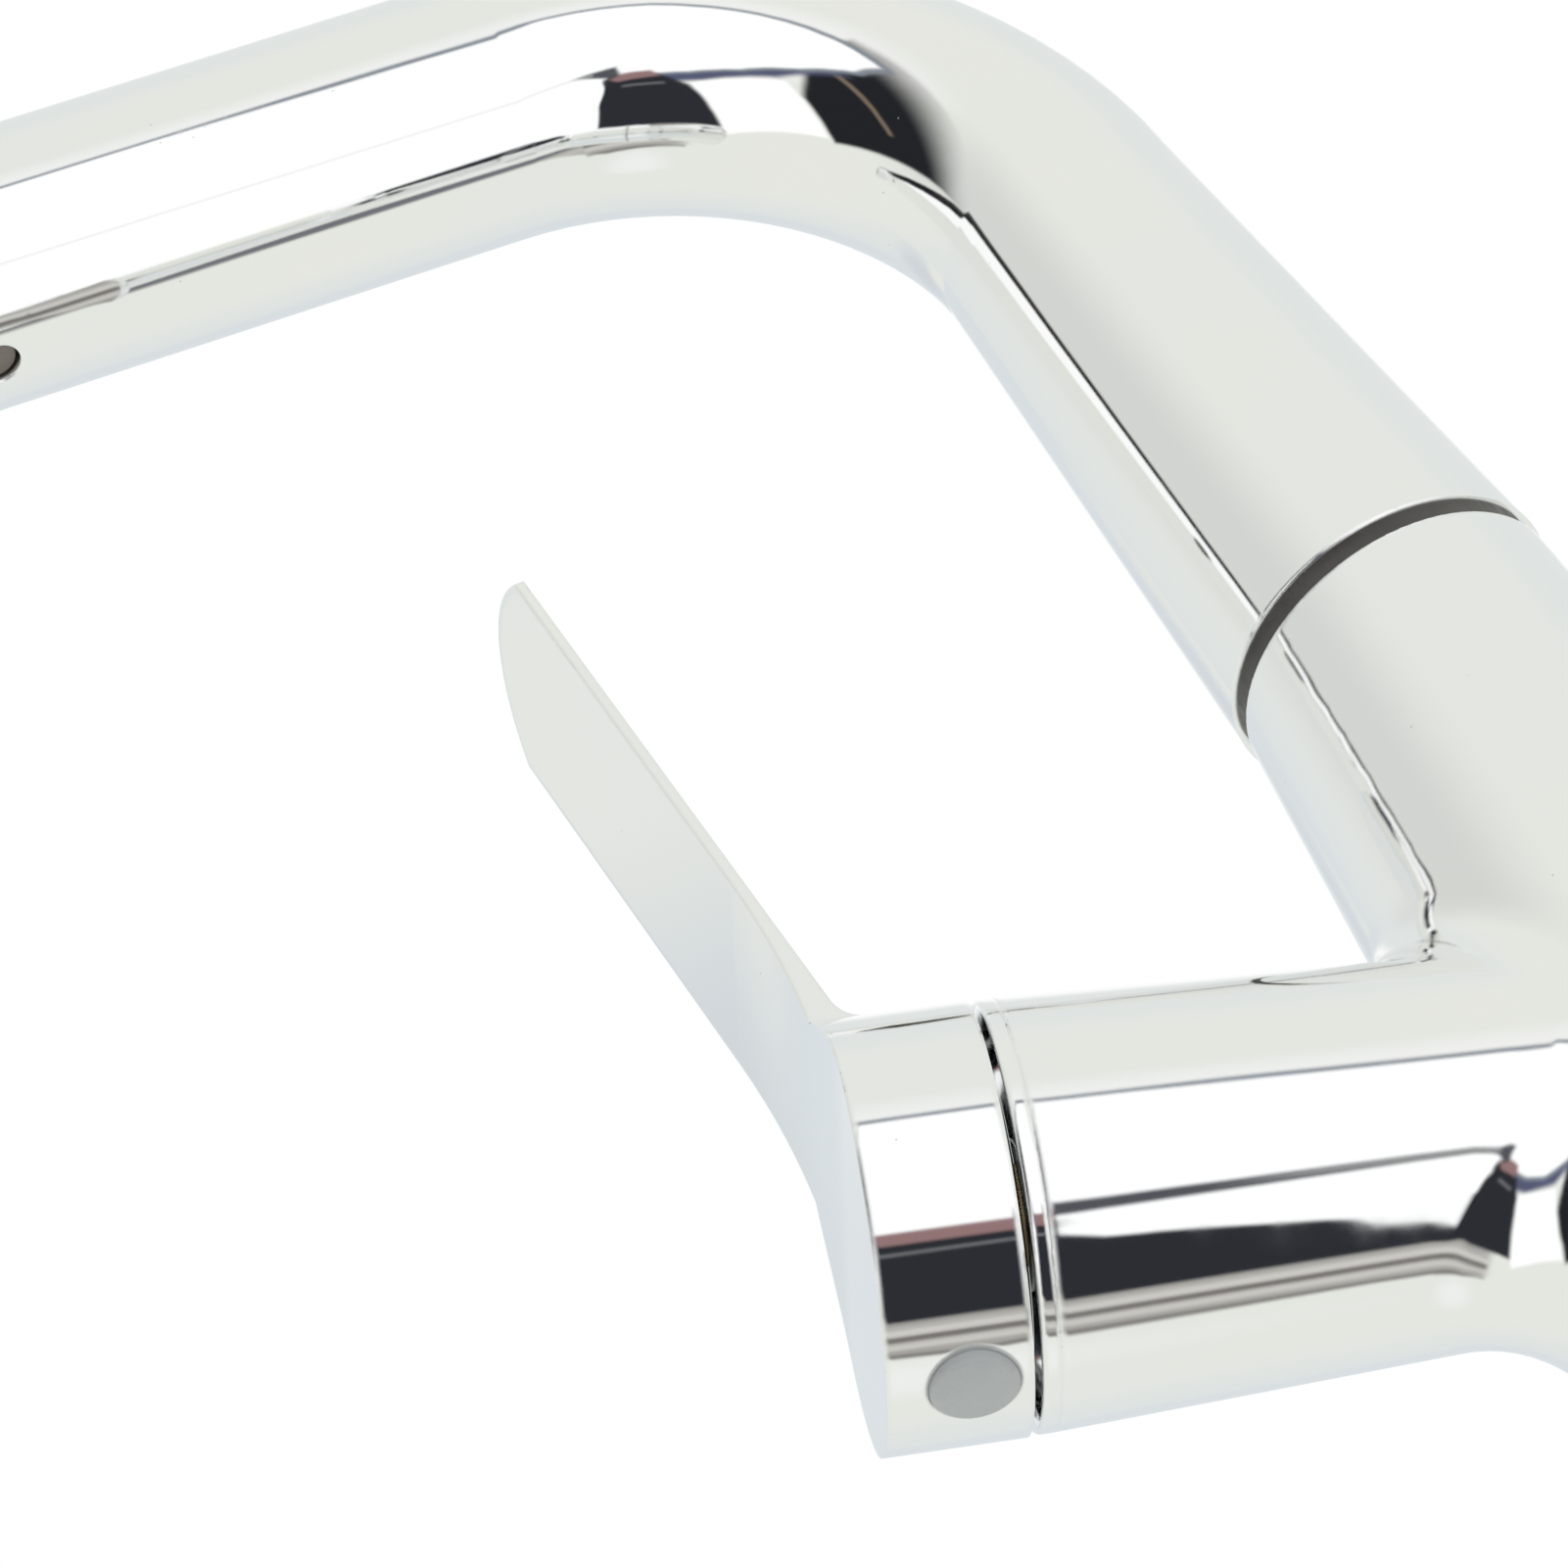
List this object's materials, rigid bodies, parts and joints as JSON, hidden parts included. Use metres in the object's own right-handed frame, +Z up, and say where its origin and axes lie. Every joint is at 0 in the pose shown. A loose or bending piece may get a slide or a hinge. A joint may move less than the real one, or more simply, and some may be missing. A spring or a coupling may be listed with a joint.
{
  "type": "kitchen tap",
  "caption": "Single-lever kitchen mixer tap with a round column, an L-shaped swivel spout and a flat blade lever on a sloping side branch.",
  "frame": {"origin": "deck level on the spout's swivel axis, the centre of the mounting shank", "axes": "+Z up along the swivel axis, +X towards the lever's branch"},
  "size_m": [0.2383, 0.06, 0.347],
  "materials": {
    "chrome": "mirror chrome plating",
    "brass": "machined brass",
    "steel": "plain stainless steel",
    "rubber": "black rubber",
    "dark_plastic": "dark grey-brown plastic, satin",
    "pale_plastic": "matte pale grey plastic",
    "brown_plastic": "grey-brown plastic",
    "white_plastic": "off-white acetal",
    "ceramic": "polished white alumina ceramic"
  },
  "bodies": {
    "fixed": {"body_casting": "chrome", "base_seal": "rubber", "mounting_shank": "brass", "rubber_washer": "rubber", "clamp_washer": "steel", "mounting_nut": "brass", "cartridge_base": "white_plastic", "base_seals": "rubber", "fixed_disc": "ceramic", "cartridge_shell": "white_plastic", "retaining_nut": "brass", "trim_bead": "chrome", "glide_ring": "dark_plastic", "retaining_screw": "steel"},
    "spout": {"spout_tube": "chrome", "spout_insert": "brass", "spout_orings": "rubber", "lower_slip_ring": "white_plastic", "upper_slip_ring": "white_plastic", "outlet_head": "chrome", "latch_sleeve": "brown_plastic", "tail_oring": "rubber", "aerator_housing": "chrome", "aerator_insert": "white_plastic", "aerator_washer": "rubber"},
    "turning_core": {"rotor": "white_plastic", "spindle_pin": "steel"},
    "handle": {"lever": "chrome", "spindle": "brass", "lever_screw": "steel", "screw_cover": "pale_plastic"},
    "sliding_disc": {"moving_disc": "ceramic", "disc_carrier": "white_plastic"}
  },
  "joints": [
    {"name": "spout_swivel", "type": "hinge", "parent": "fixed", "child": "spout", "pos_m": [0, 0, 0.1335], "axis": [0, 0, 1], "continuous": true},
    {"name": "handle_turn", "type": "hinge", "parent": "fixed", "child": "turning_core", "pos_m": [0.05792, 0, 0.07049], "axis": [0.9527, 0, 0.304], "range_deg": [-45, 45]},
    {"name": "handle_lift", "type": "hinge", "parent": "turning_core", "child": "handle", "pos_m": [0.05792, 0, 0.07049], "axis": [0, 1, 0], "range_deg": [0, 15]},
    {"name": "disc_slide", "type": "slide", "parent": "turning_core", "child": "sliding_disc", "axis": [-0.304, 0, 0.9527], "range_m": [0, 0.0017]}
  ],
  "couplings": [
    {"joint": "disc_slide", "follows": "handle_lift", "m_per_rad": 0.006426}
  ]
}
